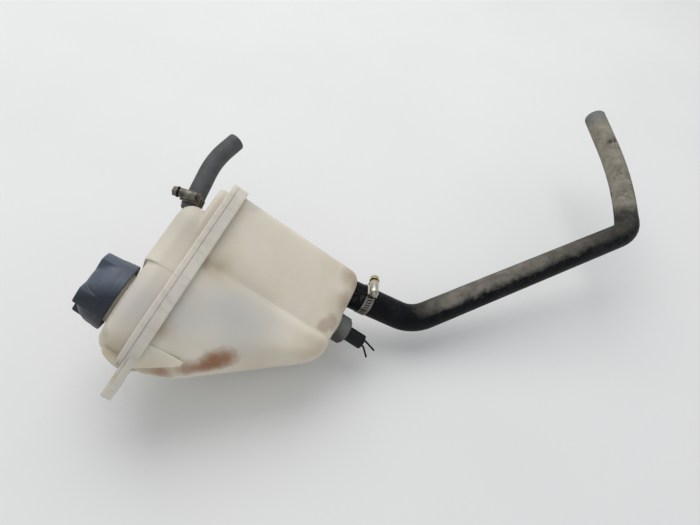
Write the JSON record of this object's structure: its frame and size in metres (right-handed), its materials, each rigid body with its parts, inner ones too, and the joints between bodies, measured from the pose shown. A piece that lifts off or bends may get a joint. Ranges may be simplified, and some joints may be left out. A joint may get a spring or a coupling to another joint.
{
  "type": "coolant expansion tank",
  "caption": "Welded translucent coolant expansion tank with pressure cap, mounting tongue, level sensor and clamped hoses.",
  "frame": {"origin": "centre of the mounting tongue's hole, at the tongue's lower edge", "axes": "+Z along the hole and the filler axis, towards the cap; +X along the welded seam, away from the tongue, towards the vent hose"},
  "size_m": [0.5737, 0.1426, 0.443],
  "materials": {
    "natural_plastic": "translucent satin, stained",
    "cap_plastic": "satin",
    "black_plastic": "satin",
    "grey_rubber": "matte",
    "hose_rubber": "matte, dusty",
    "vent_rubber": "smooth",
    "zinc_steel": "yellow zinc",
    "worn_steel": "weathered",
    "spring_steel": "bright",
    "valve_brass": "satin",
    "float_plastic": "satin",
    "seal_rubber": "matte",
    "lead_sheath": "smooth"
  },
  "bodies": {
    "tank": {"lower_shell": "natural_plastic", "upper_shell": "natural_plastic", "outlet_hose": "hose_rubber", "outlet_clamp_band": "zinc_steel", "outlet_clamp_housing": "zinc_steel", "vent_hose": "vent_rubber", "vent_clamp_band": "worn_steel", "vent_clamp_housing": "worn_steel", "sensor_collar": "grey_rubber", "sensor_body": "black_plastic", "float_stop": "spring_steel", "sensor_lead_short": "lead_sheath", "sensor_lead_long": "lead_sheath"},
    "cap_insert": {"cap_valve_insert": "black_plastic", "cap_seal": "seal_rubber", "pressure_spring": "spring_steel"},
    "cap": {"filler_cap": "cap_plastic"},
    "pressure_valve": {"pressure_valve": "float_plastic", "vacuum_spring": "spring_steel"},
    "vacuum_valve": {"vacuum_valve": "valve_brass", "valve_retainer": "spring_steel"},
    "sensor_float": {"sensor_float": "float_plastic"},
    "outlet_clamp_screw": {"outlet_clamp_screw": "zinc_steel"},
    "vent_clamp_screw": {"vent_clamp_screw": "worn_steel"}
  },
  "joints": [
    {"name": "cap_lift", "type": "slide", "parent": "tank", "child": "cap_insert", "axis": [0, 0, 1], "range_m": [0, 0.0075]},
    {"name": "cap_turn", "type": "hinge", "parent": "cap_insert", "child": "cap", "pos_m": [0.0595, 0, 0.06], "axis": [0, 0, 1], "range_deg": [0, 540]},
    {"name": "pressure_lift", "type": "slide", "parent": "cap_insert", "child": "pressure_valve", "axis": [0, 0, 1], "range_m": [0, 0.002], "stiffness_N_per_m": 150, "springref_m": -0.01, "deforming": ["pressure_spring"]},
    {"name": "vacuum_open", "type": "slide", "parent": "pressure_valve", "child": "vacuum_valve", "axis": [0, 0, -1], "range_m": [0, 0.0015], "stiffness_N_per_m": 60, "springref_m": -0.004, "deforming": ["vacuum_spring"]},
    {"name": "float_slide", "type": "slide", "parent": "tank", "child": "sensor_float", "axis": [0, 0, 1], "range_m": [0, 0.018]},
    {"name": "outlet_screw_turn", "type": "hinge", "parent": "tank", "child": "outlet_clamp_screw", "pos_m": [0.18491, -0.02028, -0.14828], "axis": [0.8554, 0.5, 0.1355], "continuous": true},
    {"name": "vent_screw_turn", "type": "hinge", "parent": "tank", "child": "vent_clamp_screw", "pos_m": [0.16312, -0.01605, 0.04189], "axis": [-0.1261, 0.4226, 0.8975], "continuous": true}
  ],
  "couplings": [
    {"joint": "cap_lift", "follows": "cap_turn", "m_per_rad": 0.00079577}
  ]
}
